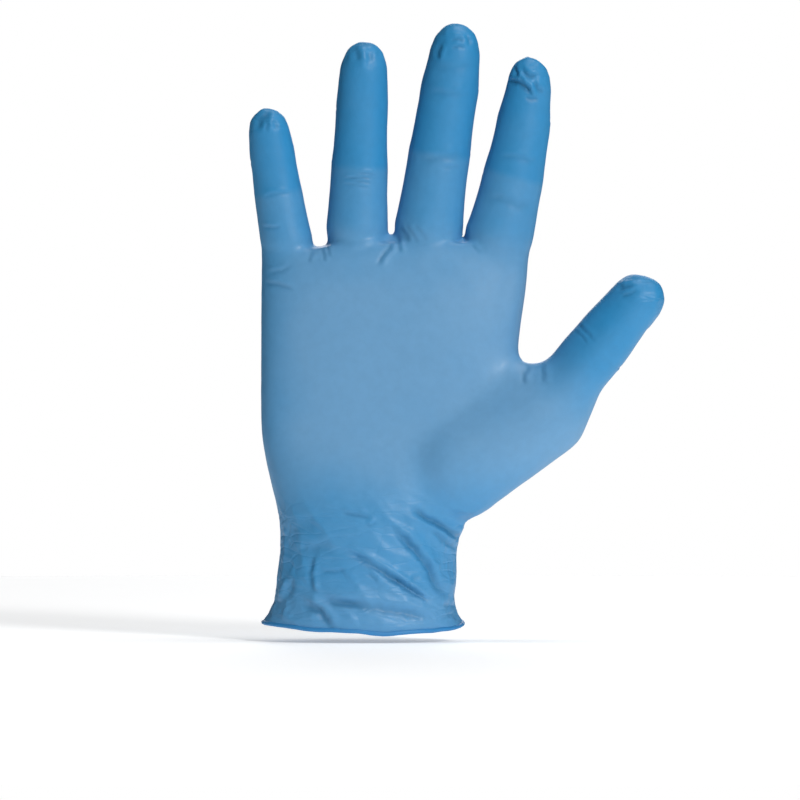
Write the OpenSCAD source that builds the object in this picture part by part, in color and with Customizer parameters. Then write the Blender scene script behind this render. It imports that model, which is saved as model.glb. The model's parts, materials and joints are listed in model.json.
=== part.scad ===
// Disposable nitrile glove in the shape it has when worn: one dipped film, open at the
// wrist, with a rolled bead round the mouth. The film is divided where it folds, at the
// wrist and at each finger joint, so that every digit can bend.
//
// Millimetres. +Z runs from the mouth to the fingertips, -Y is the palm side and +X is the
// thumb side. The origin is the centre of the mouth.

/* [Film] */
// Thickness of the dipped film
film_t = 0.12; // [0.08:0.01:0.25]
// Radius of the rolled bead round the mouth
bead_r = 0.8; // [0.5:0.1:1.4]

/* [Cuff] */
// Width of the mouth, from the little finger side to the thumb side
mouth_w = 73.4; // [64:0.2:88]
// Depth of the mouth, from the palm side to the back
mouth_d = 48; // [40:1:60]
// Height at which the cuff ends and the wrist folds
cuff_h = 22; // [16:1:40]
// Height of the film that folds at the wrist
wrist_fold_h = 28; // [24:1:40]

/* [Hand] */
// Width of the wrist
wrist_w = 65.5; // [54:0.5:80]
// Depth of the wrist
wrist_d = 42.5; // [34:0.5:52]
// Width of the palm across the finger roots
palm_w = 100; // [84:1:120]
// Thickness of the hand at the middle of the palm
palm_d = 28; // [22:1:36]
// Height of the finger roots above the mouth, at the middle finger
palm_h = 150; // [130:1:180]

/* [Index finger] */
// Length from its root to its tip
index_len = 67; // [55:1:82]
// Width at its root, on a palm 100 wide
index_w = 24.2; // [20:0.2:28]

/* [Middle finger] */
// Length from its root to its tip
middle_len = 76.4; // [62:0.2:92]
// Width at its root, on a palm 100 wide
middle_w = 24.4; // [20:0.2:28]

/* [Ring finger] */
// Length from its root to its tip
ring_len = 69; // [56:1:84]
// Width at its root, on a palm 100 wide
ring_w = 22.8; // [19:0.2:27]

/* [Little finger] */
// Length from its root to its tip
little_len = 49.8; // [44:0.2:60]
// Width at its root, on a palm 100 wide
little_w = 19.4; // [17:0.2:23]

/* [Thumb] */
// Length from its root to its tip
thumb_len = 47.4; // [40:0.2:57]
// Width at its root
thumb_w = 24.8; // [20:0.2:29]
// Lean away from the fingers, in degrees
thumb_lean = 38; // [30:1:45]

/* [Hidden] */

film_blue = "#4A97CF";
palm_blue = "#689FCB";
bead_blue = "#3189D0";

// How finely the film is drawn
hand_sides = 44;
digit_sides = 20;
ball_fn = 24;
ring_step = 4.2;
cap_rings = 5;
fold_clear = 0.6;         // spare film at each end of a fold
reach = 400;              // side of the cutting blocks

// Heights on the hand
wrist_h = cuff_h + wrist_fold_h / 2;
palm_low = cuff_h + wrist_fold_h;
heel_h = wrist_h + 42;
crown_h = palm_h - 5.5;   // where the palm closes between the finger roots
root_bury = 14;           // how far a digit's film runs down inside the palm

// Sides of the hand: the little finger's side is straight, and the thumb's side spreads
little_edge = -37.6;
wrist_shift = 2.4;
thumb_edge = little_edge + palm_w;
waist_edge = thumb_edge - 5;   // where the palm is narrowest, between the thumb and index finger
palm_taper = 2.6;               // how much thinner, each side, the palm is at the finger roots

function smooth(t) = let (u = max(0, min(1, t))) u * u * (3 - 2 * u);
function mix(a, b, t) = a + (b - a) * t;
function flat(lists) = [for (l = lists) for (p = l) p];
function power(v, e) = sign(v) * pow(abs(v), e);

// ---------------------------------------------------------------- cuff, wrist and palm

// How far the film has flared out at height z, below the wrist
function flare(z, sharpness) = pow(max(0, (wrist_h - z) / (wrist_h - rim_h)), sharpness);
// Left and right edges, front and back depth of the hand at height z
function left_at(z) =
    z < wrist_h
        ? mix(wrist_shift - wrist_w / 2, -mouth_w / 2, flare(z, 2.2))
        : mix(wrist_shift - wrist_w / 2, little_edge, smooth((z - wrist_h) / (heel_h - wrist_h)));
function right_at(z) =
    z < wrist_h
        ? mix(wrist_shift + wrist_w / 2, mouth_w / 2, flare(z, 6))
        : mix(wrist_shift + wrist_w / 2, waist_edge, smooth((z - wrist_h) / (heel_h + 20 - wrist_h)))
            + (thumb_edge - 1.4 - waist_edge) * smooth((z - heel_h - 26) / (crown_h - heel_h - 26));
function depth_at(z) =
    z < wrist_h
        ? mix(wrist_d, mouth_d, flare(z, 1.8)) / 2
        : mix(wrist_d, palm_d, smooth((z - wrist_h) / (heel_h - wrist_h))) / 2
            - palm_taper * smooth((z - heel_h - 30) / (crown_h - heel_h - 30));
// A wrist is round and a palm is flat, so the section's corners fill out on the way up
function squareness(z) = mix(2.15, 2.9, smooth((z - wrist_h) / (heel_h - wrist_h)));

function hand_point(a, z, off) =
    let (
        l = left_at(z) + off, r = right_at(z) - off, d = depth_at(z) - crown_pinch(z) - off,
        e = 2 / squareness(z)
    )
    let (x = (l + r) / 2 + (r - l) / 2 * power(cos(a), e))
    [x, d * power(sin(a), e), z - crown_dip(x, z)];
function hand_ring(z, off) =
    [for (i = [0:hand_sides - 1]) hand_point(360 * i / hand_sides, z, off)];

// Height of the mouth's rim round the wrist: lowest on the palm side, towards the thumb
rim_h = 3.7;
rim_tilt = 1.5;           // how far the back stands above the middle height
rim_lean = 0.3;           // and the little finger's side
rim_saddle = 0.75;        // how far both sides stand above it
rim_twist = 0.5;
function rim_z(a) =
    rim_h - 0.2 + rim_tilt * sin(a) + rim_saddle * cos(2 * a) - rim_lean * cos(a) + rim_twist * sin(2 * a);
// Height a share t of the way from the rim to the top of the cuff
function cuff_z(a, t) = mix(rim_z(a) + bead_r * cos(22.5), cuff_h, t);

function cuff_ring(t, off) =
    [for (i = [0:hand_sides - 1]) let (a = 360 * i / hand_sides) hand_point(a, cuff_z(a, t), off)];

// The palm's sections round over towards the back and front as they near the crown
palm_levels = [
    for (z = [palm_low:8:crown_h - 9]) z, crown_h - 6, crown_h - 3, crown_h
];
function crown_pinch(z) = let (t = max(0, (z - crown_h + 10) / 10)) 2.4 * t * t;
// The crown is lower at the little finger
function crown_dip(x, z) = 3 * smooth((z - crown_h + 14) / 14) * smooth((ring_x - x) / 22);

// ---------------------------------------------------------------- digits

// The finger roots stand side by side across the palm, so fingers are as much wider or
// narrower as the palm is
spread = palm_w / 100;
pitch = (palm_w - spread * (little_w + index_w) / 2) / 3;
little_x = little_edge + spread * little_w / 2;
ring_x = little_x + pitch;
middle_x = ring_x + pitch;
index_x = middle_x + pitch;

// A digit: [root, [curl, lean], twist, length, half widths at root, joints and tip,
//           heights of its joints, [sideways, forward] bow of its tip, length of its round tip]
index = [
    [index_x, 0, palm_h - 3], [2, 16.2], 0, index_len, spread * [index_w / 2, 11.0, 9.8, 9.4],
    [6.4, 0.345 * index_len, 0.655 * index_len], [-6.2, -4], 16
];
middle = [
    [middle_x, 0, palm_h], [2, 9.3], 0, middle_len, spread * [middle_w / 2, 11.1, 10.5, 10.2],
    [6.8, 0.365 * middle_len, 0.68 * middle_len], [-0.6, -5], 16.5
];
ring = [
    [ring_x, 0, palm_h], [2, 2.3], 0, ring_len, spread * [ring_w / 2, 10.2, 9.3, 9.1],
    [6.4, 0.33 * ring_len, 0.66 * ring_len], [0.3, -5], 15
];
little = [
    [little_x, 0, palm_h - 5], [2, -10.2], 0, little_len, spread * [little_w / 2, 8.6, 8.1, 7.9],
    [5.2, 0.37 * little_len, 0.67 * little_len], [1.3, -3.5], 13
];
thumb_root = [thumb_edge + 14.6, -8, palm_h - 56];
thumb = [
    thumb_root, [9, thumb_lean], -50, thumb_len, [thumb_w / 2, 11.4, 10.8, 10.8],
    [5, 0.36 * thumb_len], [1, 0], 12.5
];

function d_root(d) = d[0];
function d_turn(d) = d[1];
function d_twist(d) = d[2];
function d_len(d) = d[3];
function d_width(d, k) = d[4][k];
function d_joint(d, k) = d[5][k];
function d_bow(d) = d[6];
function d_cap(d) = d[7];
function has_end_joint(d) = len(d[5]) > 2;
flatness = 0.88;          // a digit's depth over its width
pivot_share = 0.3;        // how far towards the palm side a digit folds, over its half depth
cap_power = 2.3;

function cap_z(d) = d_len(d) - d_cap(d);
// Half width and half depth at height z, below the rounded tip; below its root a digit
// narrows, so that it rises out of the palm
function half_w(d, z) = lookup(z, [
    [-root_bury, d_width(d, 0) - 2.5],
    [0, d_width(d, 0)],
    [d_joint(d, 1), d_width(d, 1)],
    if (has_end_joint(d)) [d_joint(d, 2), d_width(d, 2)],
    [cap_z(d), d_width(d, 3)],
]);
function half_d(d, z) = half_w(d, z) * flatness;
function bow(d, z) = pow(max(0, z) / d_len(d), 2) * d_bow(d);

function oval(d, z, rx, ry) =
    [for (i = [0:digit_sides - 1]) let (a = 360 * (i + 0.5) / digit_sides)
        [bow(d, z)[0] + rx * cos(a), bow(d, z)[1] + ry * sin(a), z]];
function digit_ring(d, z, off) = oval(d, z, half_w(d, z) - off, half_d(d, z) - off);
function cap_ring(d, k, off) =
    let (
        a = 90 * k / cap_rings, s = pow(sin(a), 2 / cap_power), c = pow(cos(a), 2 / cap_power),
        w = d_width(d, 3)
    )
    oval(d, cap_z(d) + (d_cap(d) - off) * s, (w - off) * c, (w * flatness - off) * c);

// Half the film that a fold needs at a joint, so that its two ends don't meet when it bends
function fold_half(d, k, bend) =
    half_d(d, d_joint(d, k)) * (1 - pivot_share) * tan(bend / 2) + fold_clear;
base_bend = 70;
middle_bend = 80;
tip_bend = middle_bend * 2 / 3;
thumb_base_bend = 35;
thumb_tip_bend = 65;
function bend_at(d, k) =
    has_end_joint(d) ? [base_bend, middle_bend, tip_bend][k] : [thumb_base_bend, thumb_tip_bend][k];
function fold_low(d, k) = k == 0 ? 0 : d_joint(d, k) - fold_half(d, k, bend_at(d, k));
function fold_high(d, k) = d_joint(d, k) + fold_half(d, k, bend_at(d, k));

function levels(a, b) = let (n = max(1, ceil((b - a) / ring_step))) [for (i = [0:n]) mix(a, b, i / n)];

// ---------------------------------------------------------------- film and solids

// Triangles between two rings of n points whose first points are a and b
function wall(a, b, n) = [for (i = [0:n - 1]) let (j = (i + 1) % n)
    each [[a + i, b + i, b + j], [a + i, b + j, a + j]]];
function walls(first, rings, n) =
    [for (k = [0:rings - 2]) each wall(first + k * n, first + (k + 1) * n, n)];
function turned(faces) = [for (f = faces) [f[0], f[2], f[1]]];

// A tube of film between its outer and inner rings, open at both ends
module film_tube(outer, inner) {
    n = len(outer[0]);
    m = len(outer);
    polyhedron(
        points = concat(flat(outer), flat(inner)),
        faces = concat(
            walls(0, m, n),
            turned(walls(n * m, m, n)),
            wall(n * m, 0, n),
            wall(n * (m - 1), n * (2 * m - 1), n)
        )
    );
}

// The same, closed by a point at the top of each wall
module film_tip(outer, inner, outer_top, inner_top) {
    n = len(outer[0]);
    m = len(outer);
    top = 2 * n * m;
    function fan(first, apex) = [for (i = [0:n - 1]) [first + i, apex, first + (i + 1) % n]];
    polyhedron(
        points = concat(flat(outer), flat(inner), [outer_top, inner_top]),
        faces = concat(
            walls(0, m, n),
            turned(walls(n * m, m, n)),
            wall(n * m, 0, n),
            fan(n * (m - 1), top),
            turned(fan(n * (2 * m - 1), top + 1))
        )
    );
}

// A solid through a stack of rings
module loft(rings) {
    n = len(rings[0]);
    m = len(rings);
    polyhedron(
        points = flat(rings),
        faces = concat(
            walls(0, m, n),
            [[for (i = [0:n - 1]) i]],
            [[for (i = [n - 1:-1:0]) n * (m - 1) + i]]
        )
    );
}

module at_digit(d) {
    translate(d_root(d)) rotate([d_turn(d)[0], d_turn(d)[1], 0]) rotate([0, 0, d_twist(d)]) children();
}

// An egg that is r across and flattened towards the palm and back
module ball(p, r, off, flat_y = 0.85) {
    translate(p) scale([1, (r * flat_y - off) / (r - off), 1]) sphere(r - off, $fn = ball_fn);
}

// Skin between two neighbouring finger roots, drop below them
module web(a, b, drop, off) {
    hull() {
        ball(d_root(a) - [0, 0, drop], web_r, off, 1);
        ball(d_root(b) - [0, 0, drop], web_r, off, 1);
    }
}
web_r = 6;
web_drop = 8.7;
little_web_drop = 10.6;

// The thumb's side of the palm: from the wrist to the thumb's knuckle and its root
knuckle = thumb_root + [-9.6, 1.5, -13.3];
knuckle_r = 15;
thenar = [thumb_root[0] - 43, -3.5, thumb_root[2] - 35];
thenar_r = 18;
web_floor = thumb_root[2] + 7;      // height of the skin between the thumb and index finger
web_edge = [thumb_edge - 8, -3, web_floor - 9];
web_edge_r = 9;
module thumb_side(off) {
    hull() {
        ball(thenar, thenar_r, off);
        ball(knuckle, knuckle_r + 0.6, off);
    }
    hull() {
        ball(knuckle, knuckle_r, off);
        ball(web_edge, web_edge_r, off);
        ball(thenar + [0, -1, 4], thenar_r, off);
    }
    hull() {
        ball(web_edge, web_edge_r - 0.4, off, 1);
        ball(thumb_root + [-4.6, 0, -3.6], web_edge_r + 0.6, off, 1);
        ball(knuckle, knuckle_r - 3, off);
    }
    hull() {
        ball(knuckle, knuckle_r, off);
        ball(thumb_root + [0.6, 0.5, -0.4], 11.6, off);
    }
}

// What the film lies on: the wrist and hand, and the digits up to a little past their roots
module hand_form(off) {
    loft([
        hand_ring(cuff_h - 1, off), hand_ring(cuff_h + 4, off),
        for (z = [cuff_h + 8:4:palm_low - 4]) hand_ring(z, off),
        for (z = palm_levels) hand_ring(z - (z < crown_h ? 0 : off), off)
    ]);
    thumb_side(off);
    web(little, ring, little_web_drop, off);
    web(ring, middle, web_drop, off);
    web(middle, index, web_drop, off);
    for (d = [index, middle, ring, little, thumb]) at_digit(d)
        loft([digit_ring(d, off - root_bury, off), digit_ring(d, 0, off), digit_ring(d, 2, off)]);
}

// The film over the hand between two heights, cut off square at each digit's root
module hand_film(low, high) {
    intersection() {
        difference() {
            hand_form(0);
            hand_form(film_t);
            for (d = [index, middle, ring, little, thumb]) at_digit(d)
                translate([-root_cut(d) / 2, -reach / 20, 0]) cube([root_cut(d), reach / 10, 20]);
        }
        translate([-reach / 2, -reach / 2, low]) cube([reach, reach, high - low]);
    }
}
// Width of the cut above a digit's root
function root_cut(d) = 2 * d_width(d, 0) + 2.4;

// ---------------------------------------------------------------- nodes

module cuff_bead() {
    color(bead_blue) {
        sides = 8;
        rings = [for (i = [0:hand_sides - 1]) let (
                a = 360 * i / hand_sides, z = rim_z(a),
                mid = hand_point(a, z + bead_r * cos(22.5), film_t / 2),
                out = [mid[0] / mouth_w, mid[1] / mouth_d, 0], u = out / norm(out))
            [for (k = [0:sides - 1]) let (b = 360 * (k + 0.5) / sides)
                [mid[0], mid[1], z] + bead_r * cos(b) * u + [0, 0, bead_r * sin(b)]]];
        polyhedron(
            points = flat(rings),
            faces = concat(
                walls(0, hand_sides, sides),
                wall((hand_sides - 1) * sides, 0, sides)
            )
        );
    }
}

module cuff() {
    shares = [0, 0.12, 0.3, 0.5, 0.75, 1];
    color(film_blue)
        film_tube([for (t = shares) cuff_ring(t, 0)], [for (t = shares) cuff_ring(t, film_t)]);
}

module wrist_fold() {
    color(film_blue) hand_film(cuff_h, palm_low);
}

module palm() {
    color(palm_blue) hand_film(palm_low, reach);
}

// A digit's film between two heights
module digit_film(d, low, high) {
    color(film_blue) at_digit(d)
        film_tube([for (z = levels(low, high)) digit_ring(d, z, 0)],
                  [for (z = levels(low, high)) digit_ring(d, z, film_t)]);
}

module digit_base_fold(d) { digit_film(d, 0, fold_high(d, 0)); }
module digit_base(d) { digit_film(d, fold_high(d, 0), fold_low(d, 1)); }
module digit_middle_fold(d) { digit_film(d, fold_low(d, 1), fold_high(d, 1)); }
module digit_middle(d) { digit_film(d, fold_high(d, 1), fold_low(d, 2)); }
module digit_tip_fold(d) { digit_film(d, fold_low(d, 2), fold_high(d, 2)); }
module digit_tip(d) {
    low = fold_high(d, has_end_joint(d) ? 2 : 1);
    straight = levels(low, cap_z(d));
    function rings(off) = [
        for (z = straight) digit_ring(d, z, off),
        for (k = [1:cap_rings - 1]) cap_ring(d, k, off)
    ];
    function top(off) = [d_bow(d)[0], d_bow(d)[1], d_len(d) - off];
    color(film_blue) at_digit(d) film_tip(rings(0), rings(film_t), top(0), top(film_t));
}

cuff_bead();
cuff();
wrist_fold();
palm();
digit_base_fold(index);  // index_base_fold
digit_base(index);  // index_base
digit_middle_fold(index);  // index_middle_fold
digit_middle(index);  // index_middle
digit_tip_fold(index);  // index_tip_fold
digit_tip(index);  // index_tip
digit_base_fold(middle);  // middle_base_fold
digit_base(middle);  // middle_base
digit_middle_fold(middle);  // middle_middle_fold
digit_middle(middle);  // middle_middle
digit_tip_fold(middle);  // middle_tip_fold
digit_tip(middle);  // middle_tip
digit_base_fold(ring);  // ring_base_fold
digit_base(ring);  // ring_base
digit_middle_fold(ring);  // ring_middle_fold
digit_middle(ring);  // ring_middle
digit_tip_fold(ring);  // ring_tip_fold
digit_tip(ring);  // ring_tip
digit_base_fold(little);  // little_base_fold
digit_base(little);  // little_base
digit_middle_fold(little);  // little_middle_fold
digit_middle(little);  // little_middle
digit_tip_fold(little);  // little_tip_fold
digit_tip(little);  // little_tip
digit_base_fold(thumb);  // thumb_base_fold
digit_base(thumb);  // thumb_base
digit_middle_fold(thumb);  // thumb_tip_fold
digit_tip(thumb);  // thumb_tip
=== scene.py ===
"""A blue disposable nitrile glove, filled as if worn, with its palm towards the camera.

One skin is grown round the CAD film and creased. It is then cut into pieces, and each piece
becomes a thin closed shell.
"""

import json
import math

import bmesh
import bpy
import numpy as np
import openvdb
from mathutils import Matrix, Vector


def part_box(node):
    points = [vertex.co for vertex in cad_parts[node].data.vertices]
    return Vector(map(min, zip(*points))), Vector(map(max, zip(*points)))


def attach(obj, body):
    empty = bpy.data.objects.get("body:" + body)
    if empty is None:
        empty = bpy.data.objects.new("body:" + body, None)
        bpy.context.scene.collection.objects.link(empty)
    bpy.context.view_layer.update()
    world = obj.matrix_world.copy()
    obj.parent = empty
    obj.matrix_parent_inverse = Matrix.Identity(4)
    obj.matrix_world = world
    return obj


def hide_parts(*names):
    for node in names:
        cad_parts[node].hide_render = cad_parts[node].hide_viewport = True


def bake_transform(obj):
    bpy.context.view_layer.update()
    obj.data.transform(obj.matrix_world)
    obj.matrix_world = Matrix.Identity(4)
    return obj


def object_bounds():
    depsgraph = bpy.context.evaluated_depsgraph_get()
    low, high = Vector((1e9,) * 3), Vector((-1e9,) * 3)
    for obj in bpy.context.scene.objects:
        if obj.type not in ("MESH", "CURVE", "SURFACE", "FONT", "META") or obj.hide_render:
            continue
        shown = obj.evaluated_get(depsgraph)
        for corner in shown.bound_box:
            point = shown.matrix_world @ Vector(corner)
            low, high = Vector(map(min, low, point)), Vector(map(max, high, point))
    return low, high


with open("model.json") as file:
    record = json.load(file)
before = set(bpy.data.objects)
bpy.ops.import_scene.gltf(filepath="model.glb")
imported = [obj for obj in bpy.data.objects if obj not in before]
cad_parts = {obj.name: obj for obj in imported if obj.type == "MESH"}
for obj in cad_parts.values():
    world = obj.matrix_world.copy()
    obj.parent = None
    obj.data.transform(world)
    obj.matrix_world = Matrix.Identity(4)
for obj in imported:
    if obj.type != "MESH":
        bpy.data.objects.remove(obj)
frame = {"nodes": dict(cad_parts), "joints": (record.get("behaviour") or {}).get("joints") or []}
cad_low, cad_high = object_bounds()

MM = 0.001                    # shapes are worked out in millimetres, and pieces are in metres
JOINTS = {joint["name"]: joint for joint in frame["joints"]}
FINGERS = ("index", "middle", "ring", "little")
wrist = np.array(JOINTS["wrist_bend"]["pos_m"]) / MM

# ------------------------------------------------------------------ small helpers


def unit(v):
    return v / np.linalg.norm(v)


def smooth(t):
    t = np.clip(t, 0, 1)
    return t * t * (3 - 2 * t)


def corners(cad_node):
    """The CAD node's lowest and highest corners, in millimetres."""
    low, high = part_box(cad_node)
    return np.array(low) / MM, np.array(high) / MM


def mesh_points(mesh):
    points = np.empty(len(mesh.vertices) * 3)
    mesh.vertices.foreach_get("co", points)
    return points.reshape(-1, 3) / MM


def noise(points, scale, seed):
    """Smooth value noise from -1 to 1, whose lumps are about scale millimetres across."""
    p = points / scale + 37.7 * (seed + 1)
    cell = np.floor(p).astype(np.int64)
    t = smooth(p - cell)
    total = np.zeros(len(p))
    for corner in range(8):
        step = np.array([corner & 1, corner >> 1 & 1, corner >> 2 & 1])
        c = cell + step
        hashed = ((c[:, 0] * 73856093) ^ (c[:, 1] * 19349663) ^ (c[:, 2] * 83492791)
                  ^ (seed * 40503))
        hashed = (hashed ^ (hashed >> 13)) * 1274126177 & 0x7FFFFFFF
        value = (hashed ^ (hashed >> 16)) % 65536 / 32768 - 1
        total += value * np.prod(np.where(step, t, 1 - t), axis=1)
    return total


# ------------------------------------------------------------------ the digits' own frames

ROOT_RING = 3                 # millimetres each side of the root that its width is taken from
BELOW_ROOT = 1e3              # how far from the centre line a point below the root counts as


class Digit:
    """A digit's own coordinates, in millimetres: s along it from its first joint, u across
    it towards the thumb side and f towards its palm side, both from its centre line."""

    def __init__(self, name, parts):
        self.name = name
        self.parts = parts
        joints = [JOINTS[f"{name}_{part}_bend"] for part in parts]
        hinges = [np.array(joint["pos_m"]) / MM for joint in joints]
        self.origin = hinges[0]
        self.across = unit(np.array(joints[0]["axis"]))
        chord = hinges[-1] - hinges[0]
        self.along = unit(chord - chord @ self.across * self.across)
        self.palmward = np.cross(self.across, self.along)
        film = np.concatenate([
            mesh_points(frame["nodes"][f"{name}_{part}{kind}"].data)
            for part in parts for kind in ("", "_fold")
        ])
        s, u, f = self.raw(film)
        # The centre line's two offsets, each a curve fitted to the film's rings
        self.centre = [np.polyfit(s, offset, 2) for offset in (u, f)]
        self.joints = [(hinge - self.origin) @ self.along for hinge in hinges]
        self.root = s.min() + 0.5
        self.tip = s.max()
        u, f = u - np.polyval(self.centre[0], s), f - np.polyval(self.centre[1], s)
        near_root = np.abs(s - self.root) < ROOT_RING
        self.half_width = np.abs(u[near_root]).max()
        self.half_depth = np.abs(f[near_root]).max()

    def raw(self, points):
        p = points - self.origin
        return p @ self.along, p @ self.across, p @ self.palmward

    def coordinates(self, points):
        s, u, f = self.raw(points)
        return s, u - np.polyval(self.centre[0], s), f - np.polyval(self.centre[1], s)

    def centre_at(self, s):
        u, f = (np.polyval(curve, s) for curve in self.centre)
        return self.origin + s * self.along + u * self.across + f * self.palmward

    def cuts(self):
        """Where the skin is cut: at the root, and midway between joints."""
        return [self.root, *[(a + b) / 2 for a, b in zip(self.joints, self.joints[1:])]]

    def holds(self, points):
        """How far each point is from the centre line, in half widths, or a large number
        below the root."""
        s, u, f = self.coordinates(points)
        away = np.hypot(u / self.half_width, f / self.half_depth)
        return np.where(s > self.root, away, BELOW_ROOT)


digits = {name: Digit(name, ("base", "middle", "tip")) for name in FINGERS}
digits["thumb"] = Digit("thumb", ("base", "tip"))

# ------------------------------------------------------------------ the skin

VOXEL = 0.6                   # millimetres
BAND = 13                     # voxels of distance kept on each side of the surface
CRISP, SOFT = 1.1, 3.0        # blurs of the skin: everywhere, and again over the palm
SKIN_OUT = 0.15               # how far the skin stands out from the blurred film
MOUTH_SPARE = 12              # how far the cuff is carried on below its rim before it is cut
FLOOR_REACH = 90              # half the width of the floor that closes it, past the film
EASE_ROUNDS, EASE_STEP = 160, 0.7     # how often the thumb's step is eased, and by how much
EASE_LEAST = 0.02             # places that would be eased by less than this stay


def rim_heights():
    """The rim's height as a function of place, fitted to the CAD bead."""
    bead = mesh_points(frame["nodes"]["cuff_bead"].data)
    low, high = corners("cuff_bead")
    half = (high - low) / 2

    def waves(points):
        angle = np.arctan2(points[:, 1] / half[1], points[:, 0] / half[0])
        return np.stack([np.ones(len(angle))]
                        + [wave(k * angle) for k in (1, 2, 3) for wave in (np.sin, np.cos)], 1)

    fit = np.linalg.lstsq(waves(bead), bead[:, 2], rcond=None)[0]
    return lambda points: waves(points) @ fit


rim_height = rim_heights()


def rim_line(points):
    """The rim's height as the film really lies, a little wavy."""
    flat = points * np.array([1, 1, 0])
    return rim_height(points) + 0.55 * noise(flat, 13, 51) + 0.2 * noise(flat, 5, 52)


def film_soup():
    """Every triangle of the CAD film, the cuff mirrored below its rim, and a floor that
    closes it."""
    points, triangles, count = [], [], 0

    def add(p, t):
        nonlocal count
        points.append(p)
        triangles.append(t + count)
        count += len(p)

    for name, film in frame["nodes"].items():
        if name == "cuff_bead":
            continue
        mesh = film.data
        mesh.calc_loop_triangles()
        t = np.empty(len(mesh.loop_triangles) * 3, np.int64)
        mesh.loop_triangles.foreach_get("vertices", t)
        p, t = mesh_points(mesh), t.reshape(-1, 3)
        add(p, t)
        if name == "cuff":
            edge = rim_height(p) + (p[:, 2] - rim_height(p)).min()
            add(np.column_stack([p[:, :2], 2 * edge - p[:, 2]]), t)
    floor = np.array([[x * FLOOR_REACH, y * FLOOR_REACH, -MOUTH_SPARE]
                      for x, y in ((-1, -1), (1, -1), (1, 1), (-1, 1))], float)
    add(floor, np.array([[0, 1, 2], [0, 2, 3]]))
    return np.concatenate(points), np.concatenate(triangles)


def blurred(field, sigma):
    """The field blurred by sigma millimetres."""
    reach = int(math.ceil(2.4 * sigma / VOXEL))
    weights = np.exp(-0.5 * (np.arange(-reach, reach + 1) * VOXEL / sigma) ** 2)
    weights = (weights / weights.sum()).astype(np.float32)
    for axis in range(3):
        total = np.zeros_like(field)
        for step, weight in zip(range(-reach, reach + 1), weights):
            total += weight * np.roll(field, step, axis)
        field = total
    return field


def grown_skin():
    """(points, quads) of one smooth skin round the CAD film, in millimetres."""
    points, triangles = film_soup()
    scale = openvdb.createLinearTransform(voxelSize=VOXEL)
    grid = openvdb.FloatGrid.createLevelSetFromPolygons(
        points.astype(np.float32), triangles=triangles.astype(np.uint32),
        transform=scale, halfWidth=BAND)
    margin = BAND + 2
    hand = points[:-4]        # all but the floor
    low = np.floor(hand.min(0) / VOXEL).astype(int) - margin
    high = np.ceil(hand.max(0) / VOXEL).astype(int) + margin
    field = np.full(tuple(high - low), BAND * VOXEL, np.float32)
    grid.copyToArray(field, ijk=tuple(int(i) for i in low))
    crisp = blurred(field, CRISP)
    soft = blurred(crisp, SOFT)
    # Soft over the palm, and crisp on the digits and in the webs between them
    z = (np.arange(low[2], high[2]) * VOXEL)[None, None, :]
    x = (np.arange(low[0], high[0]) * VOXEL)[:, None, None]
    finger_root = min(digit.origin[2] for digit in digits.values() if digit.name != "thumb")
    softness = 1 - smooth((z - finger_root + 14) / 12)
    thumb = digits["thumb"]
    along = (x - thumb.origin[0]) * thumb.along[0] + (z - thumb.origin[2]) * thumb.along[2]
    softness = softness * (1 - smooth((along + 3) / 10) * (x > thumb.origin[0] - 12))
    field = crisp + (soft - crisp) * softness.astype(np.float32)
    made = openvdb.FloatGrid(BAND * VOXEL)
    made.copyFromArray(field, ijk=tuple(int(i) for i in low))
    made.transform = scale
    points, quads = made.convertToQuads(isovalue=SKIN_OUT)
    return points.astype(float), quads.astype(np.int64)


def normals_of(points, quads):
    """Area-weighted normals at each point."""
    normal = np.cross(points[quads[:, 2]] - points[quads[:, 0]],
                      points[quads[:, 3]] - points[quads[:, 1]])
    total = np.zeros_like(points)
    for k in range(4):
        for axis in range(3):
            total[:, axis] += np.bincount(quads[:, k], normal[:, axis], len(points))
    return total / np.maximum(np.linalg.norm(total, axis=1, keepdims=True), 1e-12)


def eased(points, normals, quads):
    """The skin with the step eased where the thumb leaves the palm."""
    s, u, _ = digits["thumb"].raw(points)
    ease = np.exp(-((s + 14) / 17) ** 2) * np.exp(-(u / 26) ** 2) * smooth(-1.5 * normals[:, 1])
    near = np.flatnonzero(ease > EASE_LEAST)
    a, b = quads.ravel(), np.roll(quads, -1, 1).ravel()
    chosen = (ease[a] > EASE_LEAST) & (ease[b] > EASE_LEAST)
    a, b = a[chosen], b[chosen]
    count = np.maximum(np.bincount(a, minlength=len(points)), 1)
    points = points.copy()
    for _ in range(EASE_ROUNDS):
        for axis in range(3):
            mean = np.bincount(a, points[b, axis], len(points)) / count
            points[near, axis] += EASE_STEP * ease[near] * (mean[near] - points[near, axis])
    return points


def stretch(points):
    """How far the film is stretched, from 0 to 1: most over the palm, least on the digits."""
    across, up = points[:, 0] - wrist[0], points[:, 2] - wrist[2]
    palm = (smooth((up - 2) / 36) * (1 - 0.6 * smooth((up - 84) / 34))
            * smooth((across + 46) / 26))
    tone = 0.30 + 0.70 * palm + 0.25 * smooth((-12 - up) / 14)
    for name, digit in digits.items():
        s, u, f = digit.coordinates(points)
        beside = 1 - smooth((np.hypot(u / digit.half_width, f / digit.half_depth) - 1.1) / 0.5)
        if name == "thumb":
            share, own = smooth((s + 22) / 32) * beside, 0.06
        else:
            share = smooth((s + 12) / 12) * beside
            own = 0.34 - 0.30 * smooth((s - digit.joints[1] + 2) / 3.5)
        tone = tone + (own - tone) * share
    return tone


# ------------------------------------------------------------------ relief

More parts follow.
